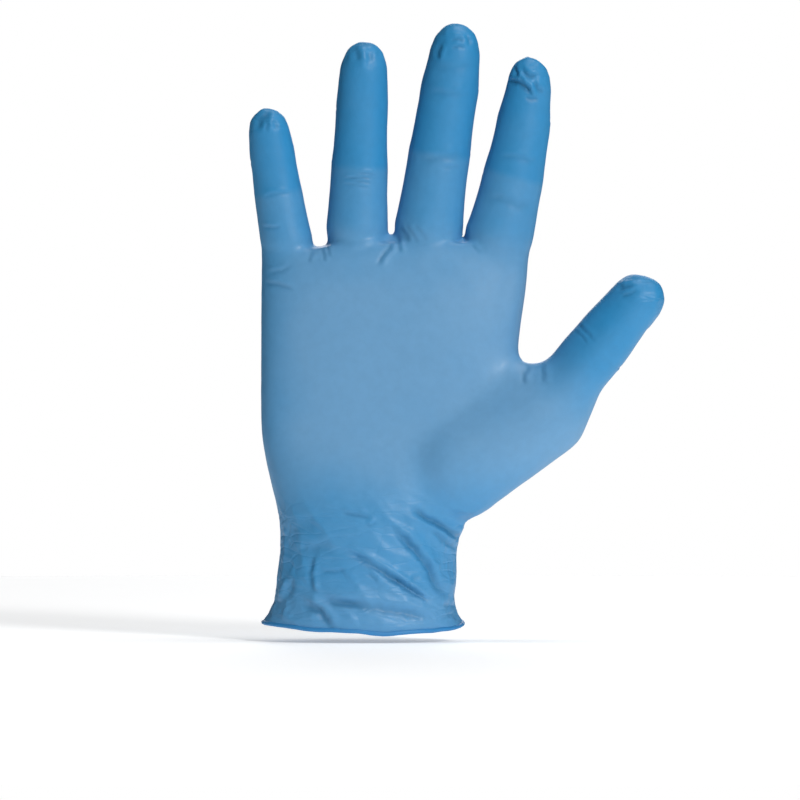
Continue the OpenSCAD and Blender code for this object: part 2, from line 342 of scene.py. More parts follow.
# Folds and creases of the film. Each is (width, depth, (across, up), (across, up), ...) in
# millimetres; it is a groove, with a raised lip on the left of its path.
# Those of the hand's palm side are placed from the wrist's hinge.
PALM_FOLDS = [
    # from the heel of the thumb down to the wrist's thumb side
    (1.3, 1.5, (35, -2), (29.5, 2), (22.5, 6.5), (14, 11)),
    (0.8, 0.6, (33, -5), (27, -1.5), (22, 3)),
    (1.3, 1.6, (7.5, 4), (12.5, -0.5), (17.5, -4.5), (20.5, -8.5), (24, -15.5), (27, -19),
     (32, -22.5)),
    (1.2, 1.3, (-11, -3.5), (0.5, -9.5), (8.5, -14.5), (16, -19.5), (24, -24)),
    (0.8, 0.9, (9, -15), (16, -19), (23, -23.5)),
    (0.8, 0.5, (-6.5, -6), (-2, -7.2), (1.8, -8.6)),
    (0.8, 0.5, (-1, -12), (1.5, -14.2), (4, -16.8)),
    (0.7, 0.35, (-18.5, -12), (-13, -12.4), (-8, -12)),
    (0.9, 0.7, (-20.5, -6), (-21.6, -13), (-20.4, -18.5), (-18, -21)),
    # above the rim
    (1.6, 1.5, (-19.5, -22.5), (-10, -23.6), (-1.5, -25), (8.5, -26.2), (19, -29), (26, -29.5)),
    (1.4, 1.0, (-26, -23.6), (-18, -27), (-14, -31.5), (-11.5, -34)),
    (1.2, -1.0, (-29.6, -14), (-30.8, -18.5), (-33.2, -23.5)),
    (0.9, 0.45, (27, -25), (31, -25.2), (34, -25)),
    (0.8, 0.4, (26, -30.5), (30, -29), (33.5, -29.4)),
    (0.8, 0.35, (14.5, -15.5), (17, -15), (19.5, -15.2)),
    # across the top of the wrist
    (0.8, 0.45, (-10, 9.2), (-5.5, 8.6), (1.2, 7.6)),
    (0.7, 0.3, (-1.5, 4.8), (1, 4.6), (3.2, 5.2)),
    (2.4, 0.45, (-30, 1), (-22, 4.5), (-18, 7)),
    (2.0, 0.35, (-27, -7), (-19, -3), (-12, -2)),
    # fine ones round the webs between fingers
    (0.8, 0.55, (8.4, 109.6), (7.4, 106), (5, 103), (2.8, 100)),
    (0.7, 0.5, (10.4, 111.4), (11.2, 107.5), (11.6, 104)),
    (0.9, 0.45, (11, 115), (13.6, 112), (15.4, 108.5)),
    (0.8, 0.4, (13.4, 115.6), (16.4, 111.6), (18.4, 108.4)),
    (0.8, 0.3, (16.4, 115.4), (19.8, 111), (22.6, 108.4)),
    (1.2, -0.3, (6.4, 110.8), (-2, 108.2), (-9, 106.2)),
    (0.7, 0.4, (-17.6, 106.4), (-16.4, 103.6), (-16.6, 101)),
    (0.7, 0.35, (-15.4, 108), (-14.6, 105.4), (-14.4, 102.6)),
    (0.7, 0.3, (-20.4, 105.6), (-22, 103), (-22.4, 100.6)),
    (1.0, 0.4, (34, 116), (35.2, 112.4), (36.4, 108.8)),
    (0.7, 0.3, (37.8, 108.4), (39.6, 106), (42, 104.6)),
    # the edge of the palm under the little finger
    (0.9, 0.45, (-39, 93.6), (-33, 93.2), (-27, 90.8)),
    (0.8, 0.3, (-38, 97.4), (-32, 98), (-27.4, 100.4)),
    # the web of the thumb
    (1.0, 0.35, (59.6, 64), (57.6, 60.4), (57, 56)),
    (0.9, 0.3, (63.6, 64.4), (64.6, 60), (64, 56.4)),
]

# Those of the back of the hand, placed in the same way
BACK_FOLDS = [
    (1.5, 1.0, (30, -4), (20, -9.5), (8, -13), (-4, -13.5)),
    (1.4, 0.9, (-31, 2), (-22, -4), (-15, -12), (-9, -21)),
    (1.1, 0.7, (26, 4), (14, 0.5), (4, -4), (-6, -5.5)),
    (1.2, 0.7, (-28, -14), (-17, -19), (-4, -21.5), (9, -20.5)),
    (1.6, 0.8, (31, -19), (21, -22), (10, -26.5), (-2, -28)),
    (0.8, 0.5, (4, -16), (9, -19), (12, -23.5)),
    (0.8, 0.5, (-20, 5), (-12, 1.6), (-4, 1)),
    (0.9, 0.5, (-33, -23), (-25, -26), (-17, -27)),
    (0.9, 0.4, (20, 8), (12, 6.4), (2, 7.6)),
    (1.6, 0.35, (41, 62), (33, 55), (28, 46)),
    (1.3, 0.35, (52, 50), (45, 43), (40, 34)),
    (0.8, 0.4, (10.5, 111), (10, 106), (8, 101)),
    (0.8, 0.35, (12.6, 111), (15, 106.6), (18, 104)),
    (0.8, 0.4, (-18, 106), (-17, 101.6), (-14.6, 98)),
    (0.8, 0.35, (36.6, 109), (36, 104.6), (33.6, 101)),
]

# Those of each digit's palm side: across it, and along it from its first joint
DIGIT_FOLDS = {
    "ring": [
        (0.5, 0.30, (-1, 14.2), (3, 14.6), (7, 14.1)),
        (0.5, 0.32, (-6.5, 12), (0, 12.9), (6.5, 13)),
        (0.5, 0.30, (-3, 11.1), (1, 11.5), (5, 11.1)),
        (0.5, 0.22, (-7.2, 10), (-1, 10), (5, 9.2)),
        (1.2, 0.36, (-4.4, 58.6), (-2.6, 57.6), (-2.8, 55)),
        (1.1, 0.30, (1.4, 58.4), (2.2, 57), (3.8, 55.6)),
        (1.2, -0.34, (-0.6, 61.5), (-0.2, 57), (0.4, 51)),
        (0.8, 0.25, (-5, 61), (-1, 62.4), (3, 61.6)),
    ],
    "middle": [
        (1.6, 0.28, (-8, 18.2), (0, 19.4), (9.4, 21.8)),
        (0.8, 0.18, (1, 16.6), (5, 17), (9, 18)),
        (1.3, 0.18, (-9, 43), (0, 43.6), (8, 44.4)),
        (1.5, 0.18, (-9, 52), (0, 53), (8.6, 55.4)),
        (0.9, 0.6, (-5.4, 61.5), (-6.4, 58.4), (-6.2, 55)),
        (0.7, 0.35, (-2.6, 63), (0, 64.2), (3, 63.6)),
        (0.7, 0.35, (-1.6, 60.4), (0.8, 61.6), (3.6, 61.4)),
        (0.7, 0.30, (2.6, 66), (4.4, 64.4), (5, 62)),
    ],
    "index": [
        (1.6, 0.25, (-10, 5.6), (-3, 7.4), (3.6, 6.8), (10, 9)),
        (1.0, 0.2, (-8, 22), (0, 23.4), (8, 23.6)),
        (1.0, 1.0, (-9, 50), (-4.4, 50.6), (-0.4, 49), (2.4, 47)),
        (0.7, 0.5, (-6.4, 56.4), (-5.4, 53.6), (-6.4, 51.6)),
        (0.8, 0.45, (-1.6, 46.4), (1.4, 46), (4.4, 47.4)),
        (0.9, 0.5, (-4.4, 55.6), (-0.4, 54), (3, 55)),
        (0.8, 0.45, (1.4, 52.6), (3.6, 50.4), (6.6, 50)),
        (0.7, 0.4, (-6, 53.4), (-3.4, 52.4), (-1.6, 50.6)),
    ],
    "little": [
        (0.7, 0.30, (-8, 1.8), (-4, 0.8), (0, 1)),
        (0.7, 0.22, (-6, 12.6), (0, 13.2), (5, 12.8)),
        (1.3, 0.75, (-4.6, 37.4), (-3, 40.2), (-0.6, 42.2), (2.4, 43)),
        (0.9, 0.3, (-0.6, 41.4), (-0.2, 39), (-1.4, 36.4)),
        (0.7, 0.25, (1, 40), (3, 38.6), (4, 36)),
    ],
    "thumb": [
        (1.1, 0.5, (-3, 33.6), (0.6, 35.2), (3.4, 38.4)),
        (0.9, 0.4, (2.4, 31.4), (4.6, 34.6), (5, 38)),
        (0.8, 0.25, (-8, 12.6), (0, 13.6), (7, 12.6)),
        (0.7, 0.2, (-6, 10.4), (0, 11), (6, 10.2)),
    ],
}


def along_path(across, up, path):
    """Each place's distance from a path, positive on its left, and how far along it is."""
    path = np.array(path, float)
    steps = np.diff(path, axis=0)
    lengths = np.hypot(*steps.T)
    starts = np.concatenate([[0], np.cumsum(lengths)[:-1]]) / lengths.sum()
    nearest = np.full(len(across), 1e9)
    side, place = np.ones(len(across)), np.zeros(len(across))
    for begin, step, length, start in zip(path, steps, lengths, starts):
        x, y = across - begin[0], up - begin[1]
        t = np.clip((x * step[0] + y * step[1]) / length ** 2, 0, 1)
        away = np.hypot(x - t * step[0], y - t * step[1])
        closer = away < nearest
        nearest = np.where(closer, away, nearest)
        left = step[0] * y - step[1] * x
        side = np.where(closer, np.sign(left), side)
        place = np.where(closer, start + t * length / lengths.sum(), place)
    return nearest * side, place


def folded(across, up, strength, folds, height, shade):
    """Adds the folds to height and their shade to shade, by each place's strength."""
    for width, depth, *path in folds:
        corner_low = np.min(path, axis=0) - 5 * width
        corner_high = np.max(path, axis=0) + 5 * width
        near = np.flatnonzero((strength > 0.01) & (across > corner_low[0])
                              & (across < corner_high[0]) & (up > corner_low[1])
                              & (up < corner_high[1]))
        if not len(near):
            continue
        away, place = along_path(across[near], up[near], path)
        fade = smooth(3.2 * np.minimum(place, 1 - place) + 0.08) * strength[near]
        groove = np.exp(-(away / width) ** 2)
        lip = np.exp(-((away - 1.8 * width) / (1.3 * width)) ** 2)
        height[near] += depth * fade * (0.7 * lip - groove)
        # Painted shade along the groove, which later darkens the film's colour
        if depth > 0:
            shade[near] = np.maximum(shade[near], min(1, 1.2 * depth) * fade * groove)


def wrinkled(points, direction, long, short, seed, soft=0.012):
    """Heights from 0 to 1 of ridges that run along a direction."""
    direction = unit(np.array(direction, float))
    along = (points @ direction)[:, None] * direction
    n = noise(along / long + (points - along) / short, 1, seed)
    return 1 - np.sqrt(n * n + soft)


# Rows of wrinkles over the back of a joint: how far along from it, and how far each way
JOINT_ROWS = ((-4, 0.4), (-1.9, 0.75), (0.1, 0.6), (1.8, 0.8), (4.1, 0.35))
# The thumb's side of the hand: height above the wrist, how far up and down, and how full
THUMB_SIDE = ((94, 24, 1.3), (34, 20, 0.7), (3, 6, 1.5))
FOLD_STRAY = 0.55             # how far folds stray from their paths, in millimetres
RELIEF_REACH = 1.35           # how far out a digit's relief goes, in its half widths
SLIMMER = {"index": 0.8, "middle": 0.5, "thumb": 0.7}     # how far the end's sides draw in
KNUCKLE_S = -13               # where a finger's knuckle stands, along it from its first joint


def gathered(points, strayed, level, height):
    """Adds the folds of the loose film round the wrist to height, and says how loose the
    film is. Level is each point's height above the rim."""
    loose = smooth(level / 5) * (1 - smooth((points[:, 2] - wrist[2] - 2) / 18))
    rear = smooth(points[:, 1] / 16 + 0.5)
    # They slant down towards the thumb in front, and up towards it at the back
    gathers = np.maximum(wrinkled(strayed, (1, 0.1, -0.75), 24, 6.5, 21) * (1 - rear),
                         wrinkled(strayed, (1, -0.1, 0.7), 22, 6, 22) * rear)
    height += loose * (0.8 * gathers ** 3 - 0.3)
    height += loose * 0.28 * wrinkled(strayed, (1, 0, -0.25), 9, 3, 23, 0.004) ** 2
    rolling = smooth(1 - np.abs(level - 3) / 4)
    height += 0.22 * rolling * wrinkled(strayed, (1, 0, 0.1), 9, 2, 24) ** 2
    return 0.85 * loose


def digit_relief(digit, points, strayed, normals):
    """The height, shade and looseness of a digit's film at the points near it."""
    s, u, f = digit.coordinates(strayed)
    palm_side = smooth(f / digit.half_depth * 1.6 + 0.4)
    height, shade = np.zeros(len(points)), np.zeros(len(points))
    folded(u, s, palm_side, DIGIT_FOLDS[digit.name], height, shade)
    back_side = smooth(0.5 - f / digit.half_depth * 1.6)
    # Rows of short wrinkles over the back of each joint, no two alike
    for order, joint in enumerate(digit.joints[1:], 1):
        for row, (step, reach) in enumerate(JOINT_ROWS):
            sway = 0.3 * math.sin(7.3 * order + 4.1 * row + 11 * digit.half_width)
            left = (reach + sway) * digit.half_width
            right = (sway - reach) * digit.half_width
            bend = 0.3 * step
            line = (0.6, 0.17 + 0.08 * (row % 2), (left, joint + step + bend),
                    (sway * digit.half_width, joint + step + sway),
                    (right, joint + step + bend - sway))
            folded(u, s, back_side, [line], height, shade)
        height += 0.5 * np.exp(-((s - joint) / 6) ** 2) * back_side
    # Crumpled, slightly loose film over the end, and the nail's shape under its back
    end = digit.tip - s
    loose_tip = smooth((11 - end) / 8)
    crumple = wrinkled(points, digit.along, 5.5, 3.8, 31, 0.002)
    facets = wrinkled(points, digit.across, 3.6, 2.6, 32, 0.002)
    height += loose_tip * (0.36 * crumple + 0.2 * facets - 0.28)
    sides = 1 - np.abs(normals @ digit.along)
    height -= SLIMMER.get(digit.name, 0) * smooth((26 - end) / 14) * sides
    nail = (smooth((end - 1.5) / 2) * smooth((15 - end) / 1.5)
            * smooth((0.62 * digit.half_width - np.abs(u)) / 1.2))
    height += 0.35 * nail * smooth(-f / digit.half_depth * 3 - 1)
    return height, shade, 0.8 * loose_tip


def relief(points, normals):
    """How far the film stands out from the smooth skin in millimetres, how dark the painted
    shade in the grooves of folds and creases is at each point from 0 to 1, and how loose the
    film is there."""
    height, shade = np.zeros(len(points)), np.zeros(len(points))
    # Folds stray a little from their paths, and are deeper in some places than in others
    wander = np.stack([noise(points, 7, seed) for seed in (11, 12, 13)], 1)
    wander += 0.5 * np.stack([noise(points, 2.6, seed) for seed in (14, 15, 16)], 1)
    strayed = points + FOLD_STRAY * wander
    uneven = 0.8 + 0.35 * noise(points, 9, 17)
    facing = -normals[:, 1]
    front, back = smooth(2.2 * facing + 0.35), smooth(0.35 - 2.2 * facing)
    across, up = strayed[:, 0] - wrist[0], strayed[:, 2] - wrist[2]
    folded(across, up, front * uneven, PALM_FOLDS, height, shade)
    folded(across, up, back * uneven, BACK_FOLDS, height, shade)
    level = points[:, 2] - rim_line(points)
    loose_film = gathered(points, strayed, level, height)
    for digit in digits.values():
        mine = np.flatnonzero(digit.holds(points) < RELIEF_REACH)
        part_height, part_shade, loose_tip = digit_relief(
            digit, points[mine], strayed[mine], normals[mine])
        height[mine] += part_height
        loose_film[mine] = np.maximum(loose_film[mine], loose_tip)
        shade[mine] = np.maximum(shade[mine], part_shade)

    # The cuff's two ends draw in a little above the rim and point out at it
    ends = smooth((np.abs(normals[:, 0]) - 0.6) / 0.4)
    height += ends * (1.5 * (1 - smooth(level / 3.5)) - 0.9 * np.exp(-((level - 9) / 5) ** 2))
    # The knuckles and, fainter, the tendons that run from them to the wrist
    for name in FINGERS:
        knuckle = digits[name].centre_at(KNUCKLE_S)
        reach = unit((knuckle - wrist)[[0, 2]])
        along = (points[:, 0] - knuckle[0]) * reach[0] + (points[:, 2] - knuckle[2]) * reach[1]
        beside = (points[:, 0] - knuckle[0]) * reach[1] - (points[:, 2] - knuckle[2]) * reach[0]
        height += back * 1.5 * np.exp(-(along / 8) ** 2 - (beside / 7.5) ** 2)
        run = smooth((-along - 4) / 14) * smooth((along + 78) / 30)
        height += back * 0.55 * run * np.exp(-(beside / 2.8) ** 2)
    # A fuller edge on the thumb's side, above and below the thumb
    thumb_side = smooth((normals[:, 0] - 0.35) / 0.5) * (points[:, 0] > wrist[0] + 15)
    for middle, spread, amount in THUMB_SIDE:
        height += amount * thumb_side * np.exp(-((up - middle) / spread) ** 2)
    height += 0.10 * noise(points, 15, 41) + 0.05 * noise(points, 4.5, 42)
    return height, shade, loose_film


# ------------------------------------------------------------------ cutting the skin

SKIN_T = 0.16                 # the film's thickness as shown
BEAD_R = 0.8                  # the rolled bead's radius
CUT_REACH = 2                 # faces within this of a cut, in millimetres, may be cut by it

palm_low, palm_high = corners("palm")
WRIST_BEND = (wrist[2] - 20, wrist[2] + 20)     # heights of the two cuts round the wrist, between which its piece of film lies
HEEL_TOP = (palm_low[2] + palm_high[2]) / 2     # where the hand's skin is cut in two pieces


def layers_mesh(points, quads, layers):
    """A mesh with its layers, each a value or vector for every point."""
    mesh = bpy.data.meshes.new("whole_skin")
    mesh.from_pydata(points, [], quads)
    for name, values in layers.items():
        kind, field = ("FLOAT_VECTOR", "vector") if values.ndim == 2 else ("FLOAT", "value")
        layer = mesh.attributes.new(name, kind, "POINT")
        layer.data.foreach_set(field, values.astype(np.float32).ravel())
    return mesh


def cut(bm, at, direction, chosen=None, drop_below=False):
    """Cuts the chosen faces, or all, along a plane."""
    faces = list(bm.faces) if chosen is None else [bm.faces[i] for i in np.flatnonzero(chosen)]
    edges = {edge for face in faces for edge in face.edges}
    verts = {vert for edge in edges for vert in edge.verts}
    bmesh.ops.bisect_plane(bm, geom=[*verts, *edges, *faces], dist=1e-5, plane_co=at,
                           plane_no=direction, clear_inner=drop_below)
    for kind in (bm.verts, bm.faces):
        kind.ensure_lookup_table()


def face_centres(bm):
    return np.array([face.calc_center_median() for face in bm.faces])


def cut_skin(points, quads, layers):
    """The skin cut at its rim, at the wrist and round each digit, still as one mesh."""
    flat = points.copy()      # with the rim made level
    flat[:, 2] -= rim_line(points)
    mesh = layers_mesh(flat, quads, layers)
    bm = bmesh.new()
    bm.from_mesh(mesh)
    cut(bm, (0, 0, 0), (0, 0, 1), drop_below=True)
    bm.to_mesh(mesh)
    level = mesh_points(mesh) * MM
    level[:, 2] += rim_line(level)
    mesh.vertices.foreach_set("co", level.ravel())
    bm.clear()
    bm.from_mesh(mesh)
    bm.faces.ensure_lookup_table()
    for height in (*WRIST_BEND, HEEL_TOP):
        centres = face_centres(bm)
        cut(bm, (0, 0, height), (0, 0, 1), np.abs(centres[:, 2] - height) < CUT_REACH)
    for digit in digits.values():
        for s in digit.cuts():
            centres = face_centres(bm)
            along, u, f = digit.coordinates(centres)
            near = (np.abs(along - s) < CUT_REACH) & (np.hypot(u, f) < 1.25 * digit.half_width)
            cut(bm, digit.origin + s * digit.along, digit.along, near)
    bmesh.ops.triangulate(bm, faces=[face for face in bm.faces if len(face.verts) > 4])
    bm.to_mesh(mesh)
    bm.free()
    return mesh


# ------------------------------------------------------------------ pieces

DIGIT_REACH = 1.2             # how far out a digit's film goes, in its half widths
BEND_REACH = 8.5              # how far each side of its joint a digit's bend would reach; nothing is bent by it
BEND_INSET = 0.2              # how far inside its cuts a piece's bend would begin; nothing is bent by it


def linked(name, mesh):
    piece = bpy.data.objects.new(name, mesh)
    bpy.context.scene.collection.objects.link(piece)
    return piece


def shell(name, points, normals, loops, totals, layers):
    """A thin closed shell whose outer side is the given faces, as a new object in metres.
    The faces are given as one run of points and how many points each face has."""
    used, outer = np.unique(loops, return_inverse=True)
    starts = np.cumsum(totals) - totals
    first, size = np.repeat(starts, totals), np.repeat(totals, totals)
    place = np.arange(len(outer)) - first
    after = outer[first + (place + 1) % size]
    inner = outer[first + size - 1 - place] + len(used)
    forward, backward = outer * len(used) + after, after * len(used) + outer
    free = ~np.isin(forward, backward)
    a, b = outer[free], after[free]
    rim = np.stack([b, a, a + len(used), b + len(used)], 1).ravel()
    corners_all = np.concatenate([outer, inner, rim])
    sizes = np.concatenate([totals, totals, np.full(len(a), 4)])

    skin, normal = points[used], normals[used]
    mesh = bpy.data.meshes.new(name)
    mesh.vertices.add(2 * len(used))
    both_sides = np.concatenate([skin, skin - normal * SKIN_T])
    mesh.vertices.foreach_set("co", (both_sides * MM).ravel())
    mesh.loops.add(len(corners_all))
    mesh.loops.foreach_set("vertex_index", corners_all)
    mesh.polygons.add(len(sizes))
    mesh.polygons.foreach_set("loop_start", np.cumsum(sizes) - sizes)
    mesh.update(calc_edges=True)
    for key, values in layers.items():
        values = np.concatenate([values[used]] * 2).astype(np.float32)
        kind, field = ("FLOAT_VECTOR", "vector") if values.ndim == 2 else ("FLOAT", "value")
        mesh.attributes.new(key, kind, "POINT").data.foreach_set(field, values.ravel())
    # Normals carried over from the whole skin, so that no seam shows between pieces
    every = np.concatenate([normal, -normal])[corners_all]
    flat = np.empty(len(sizes) * 3)
    mesh.polygons.foreach_get("normal", flat)
    every[-len(rim):] = np.repeat(flat.reshape(-1, 3)[-len(a):], 4, axis=0)
    mesh.polygons.foreach_set("use_smooth", np.ones(len(sizes), bool))
    mesh.normals_split_custom_set(every)
    return linked(name, mesh)


def rolled_bead(rim):
    """The bead round the mouth: the film rolled on itself, so its roll's edge shows as a
    line, and it is a little uneven."""
    angle = np.arctan2(rim[:, 1], rim[:, 0])
    order = np.argsort(angle)
    steps, sides = 360, 20    # round the mouth, and round the roll
    turn = np.linspace(-np.pi, np.pi, steps, endpoint=False)
    line = np.stack([np.interp(turn, angle[order], rim[order, k], period=2 * np.pi)
                     for k in range(3)], 1)
    ahead = np.roll(line, -3, 0) - np.roll(line, 3, 0)
    ahead /= np.linalg.norm(ahead, axis=1, keepdims=True)
    out = np.cross(ahead, [0, 0, 1.0])
    out /= np.linalg.norm(out, axis=1, keepdims=True)
    up = np.cross(out, ahead)
    side = np.arange(sides) * 2 * np.pi / sides
    uneven = 1 + 0.10 * noise(line, 9, 5) + 0.05 * noise(line, 2.5, 6)
    roll = (1 - 0.16 * np.exp(-((side - 0.9) / 0.28) ** 2)
            - 0.10 * np.exp(-((side - 5.2) / 0.3) ** 2))
    radius = BEAD_R * uneven[:, None] * roll[None, :]
    points = (line[:, None] + radius[..., None] * (np.cos(side)[None, :, None] * out[:, None]
              + np.sin(side)[None, :, None] * up[:, None])).reshape(-1, 3)
    ring, corner = np.meshgrid(np.arange(steps), np.arange(sides), indexing="ij")
    after, beside = (ring + 1) % steps, (corner + 1) % sides
    faces = np.stack([ring * sides + corner, after * sides + corner,
                      after * sides + beside, ring * sides + beside], -1).reshape(-1, 4)
    mesh = bpy.data.meshes.new("rolled_bead")
    mesh.from_pydata(points * MM, [], faces)
    mesh.attributes.new("rest", "FLOAT_VECTOR", "POINT").data.foreach_set(
        "vector", points.astype(np.float32).ravel())
    mesh.polygons.foreach_set("use_smooth", np.ones(len(mesh.polygons), bool))
    return linked("rolled_bead", mesh)


def strays(loops, totals, chosen):
    """Those of the chosen faces that aren't joined to the largest part of them."""
    chosen = np.flatnonzero(chosen)
    face = np.repeat(np.arange(len(chosen)), totals[chosen])
    mask = np.zeros(len(totals), bool)
    mask[chosen] = True
    at = loops[np.repeat(mask, totals)]
    label = np.arange(len(chosen))
    while True:
        point = np.full(at.max() + 1, len(label))
        np.minimum.at(point, at, label[face])
        spread = label.copy()
        np.minimum.at(spread, face, point[at])
        spread = spread[spread]
        if (spread == label).all():
            break
        label = spread
    parts, sizes = np.unique(label, return_counts=True)
    return chosen[label != parts[sizes.argmax()]]


def build_pieces(mesh):
    """Every piece of the glove by name, from the cut skin and its layers."""
    points = mesh_points(mesh) * MM
    layers = {}
    for name in ("rest", "normal", "tone", "crease", "loose"):
        field, width = ("vector", 3) if name in ("rest", "normal") else ("value", 1)
        values = np.empty(len(points) * width, np.float32)
        mesh.attributes[name].data.foreach_get(field, values)
        layers[name] = values.reshape(-1, 3) if width == 3 else values
    normals = layers.pop("normal").astype(float)
    normals /= np.linalg.norm(normals, axis=1, keepdims=True)
    totals = np.empty(len(mesh.polygons), np.int64)
    loops = np.empty(len(mesh.loops), np.int64)
    mesh.polygons.foreach_get("loop_total", totals)
    mesh.loops.foreach_get("vertex_index", loops)
    centres = np.add.reduceat(points[loops], np.cumsum(totals) - totals) / totals[:, None]
    nearness = np.stack([digit.holds(centres) for digit in digits.values()])
    nearest = nearness.argmin(0)
    nearest[nearness.min(0) > DIGIT_REACH] = -1
    z = centres[:, 2]
    names = np.select([z < WRIST_BEND[0], z < WRIST_BEND[1], z < HEEL_TOP],
                      ["cuff", "wrist", "heel"], "palm").astype(object)
    for k, digit in enumerate(digits.values()):
        mine = np.flatnonzero(nearest == k)
        s = digit.coordinates(centres[mine])[0]
        for part, low in zip(digit.parts, (digit.root, *digit.cuts()[1:])):
            names[mine[s > low]] = f"{digit.name}_{part}"
    # A scrap that is cut off from its piece goes to the piece beside it
    for digit in digits.values():
        names[strays(loops, totals, names == f"{digit.name}_base")] = "palm"
    names[strays(loops, totals, names == "palm")] = "heel"
    pieces = {}
    for name in sorted(set(names)):
        mine = names == name
        pieces[name] = shell(f"{name}_skin", points, normals, loops[np.repeat(mine, totals)],
                             totals[mine], layers)
    level = points[:, 2] - rim_line(points)
    pieces["bead"] = rolled_bead(points[np.abs(level) < 0.02])
    return pieces


def place_pieces(pieces):
    """The cuff, bead, heel and palm pieces ride on their bodies, while the wrist's and the
    digits' pieces stay fixed where they lie; each takes the place of its CAD nodes."""
    for name, body in (("cuff", "cuff"), ("bead", "cuff"), ("heel", "hand"), ("palm", "hand")):
        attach(pieces[name], body)
    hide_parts("cuff")
    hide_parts("cuff_bead")
    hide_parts("palm")
    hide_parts("wrist_fold")
    low, high = WRIST_BEND
    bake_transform(pieces["wrist"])
    for digit in digits.values():
        cuts = [*digit.cuts(), digit.tip + 1]
        for part, joint, low, high in zip(digit.parts, digit.joints, cuts, cuts[1:]):
            piece, body = pieces[f"{digit.name}_{part}"], f"{digit.name}_{part}"
            low = max(low + BEND_INSET, joint - BEND_REACH)
            high = min(high - BEND_INSET, joint + BEND_REACH)
            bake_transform(piece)
            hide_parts(body, body + "_fold")


# ------------------------------------------------------------------ materials


def new_material(name):
    material = bpy.data.materials.new(name)
    material.use_nodes = True
    tree = material.node_tree
    return material, tree, tree.nodes["Principled BSDF"]


def node(tree, kind, inputs=None, **settings):
    made = tree.nodes.new(kind)
    for key, value in settings.items():
        setattr(made, key, value)
    for key, value in (inputs or {}).items():
        if isinstance(value, bpy.types.NodeSocket):
            tree.links.new(value, made.inputs[key])
        else:
            made.inputs[key].default_value = value
    return made


def mixed(tree, share, a, b, blend="MIX"):
    """The colour output of a mix of two colours, each a value or a socket."""
    made = node(tree, "ShaderNodeMix", data_type="RGBA", blend_type=blend)
    for socket, value in ((made.inputs[0], share), (made.inputs[6], a), (made.inputs[7], b)):
        if isinstance(value, bpy.types.NodeSocket):
            tree.links.new(value, socket)
        else:
            socket.default_value = value
    return made.outputs[2]


def mapped(tree, value, low, high, to_low=0.0, to_high=1.0):
    return node(tree, "ShaderNodeMapRange", {"Value": value, "From Min": low, "From Max": high,
                "To Min": to_low, "To Max": to_high}).outputs["Result"]


def nitrile(name, slack, stretched, bump):
    """Dipped nitrile film: satin, faintly mottled, paler where it is stretched, darkened by
    painted shade in the grooves of its folds and creases, and finely pebbled. Its patterns lie
    on the film's own resting places, in millimetres."""
    material, tree, shader = new_material(name)
    place = node(tree, "ShaderNodeAttribute", attribute_name="rest").outputs["Vector"]
    tone = node(tree, "ShaderNodeAttribute", attribute_name="tone").outputs["Fac"]
    crease = node(tree, "ShaderNodeAttribute", attribute_name="crease").outputs["Fac"]

    def lumps(scale, detail=2.0, rough=0.5):
        return node(tree, "ShaderNodeTexNoise", {"Vector": place, "Scale": 1 / scale,
                    "Detail": detail, "Roughness": rough}).outputs["Fac"]

    patches = mapped(tree, lumps(18), 0.3, 0.7, -0.07, 0.07)
    share = node(tree, "ShaderNodeMath", {0: tone, 1: patches}, operation="ADD",
                 use_clamp=True).outputs[0]
    colour = mixed(tree, share, slack, stretched)
    mottle = mapped(tree, lumps(3.2, 4, 0.6), 0.3, 0.7, 0.97, 1.03)
    colour = mixed(tree, 1.0, colour, node(tree, "ShaderNodeCombineColor", {
        "Red": mottle, "Green": mottle, "Blue": mottle}).outputs[0], "MULTIPLY")
    # Painted shade: the colour is darkened towards a dark copy of the slack blue where the
    # crease shade layer is high, in the grooves of folds and creases
    shade = mapped(tree, crease, 0, 1, 0, 0.55)
    colour = mixed(tree, shade, colour, tuple(0.42 * c for c in slack[:3]) + (1,))
    tree.links.new(colour, shader.inputs["Base Color"])
    rough = mapped(tree, lumps(1.6, 3), 0.3, 0.7, 0.40, 0.54)
    tree.links.new(rough, shader.inputs["Roughness"])
    shader.inputs["Specular IOR Level"].default_value = 0.42
    fine = node(tree, "ShaderNodeBump", {"Height": lumps(0.45, 3, 0.6), "Strength": 0.25,
                "Distance": bump * MM})
    # Fine crinkles where the film is loose: the edges of long cells, bent by noise
    loose = node(tree, "ShaderNodeAttribute", attribute_name="loose").outputs["Fac"]
    bent = node(tree, "ShaderNodeTexNoise", {"Vector": place, "Scale": 0.12, "Detail": 2.0})
    bend = node(tree, "ShaderNodeVectorMath", {0: bent.outputs["Color"], 1: (2.5, 2.5, 2.5)},
                operation="MULTIPLY")
    shifted = node(tree, "ShaderNodeVectorMath", {0: place, 1: bend.outputs[0]},
                   operation="ADD")
    turned = node(tree, "ShaderNodeMapping", {"Vector": shifted.outputs[0],
                  "Rotation": (0, math.radians(-28), 0), "Scale": (0.07, 0.12, 0.24)})
    cells = node(tree, "ShaderNodeTexVoronoi", {"Vector": turned.outputs[0], "Scale": 1.0},
                 feature="DISTANCE_TO_EDGE").outputs["Distance"]
    crinkle = node(tree, "ShaderNodeMath", {0: mapped(tree, cells, 0, 0.13), 1: loose},
                   operation="MULTIPLY").outputs[0]
    fine = node(tree, "ShaderNodeBump", {"Height": crinkle, "Strength": 0.4,
                "Distance": 0.3 * MM, "Normal": fine.outputs[0]})
    soft = node(tree, "ShaderNodeBump", {"Height": lumps(2.6, 2), "Strength": 0.35,
                "Distance": 2.2 * bump * MM, "Normal": fine.outputs[0]})
    tree.links.new(soft.outputs[0], shader.inputs["Normal"])
    return material


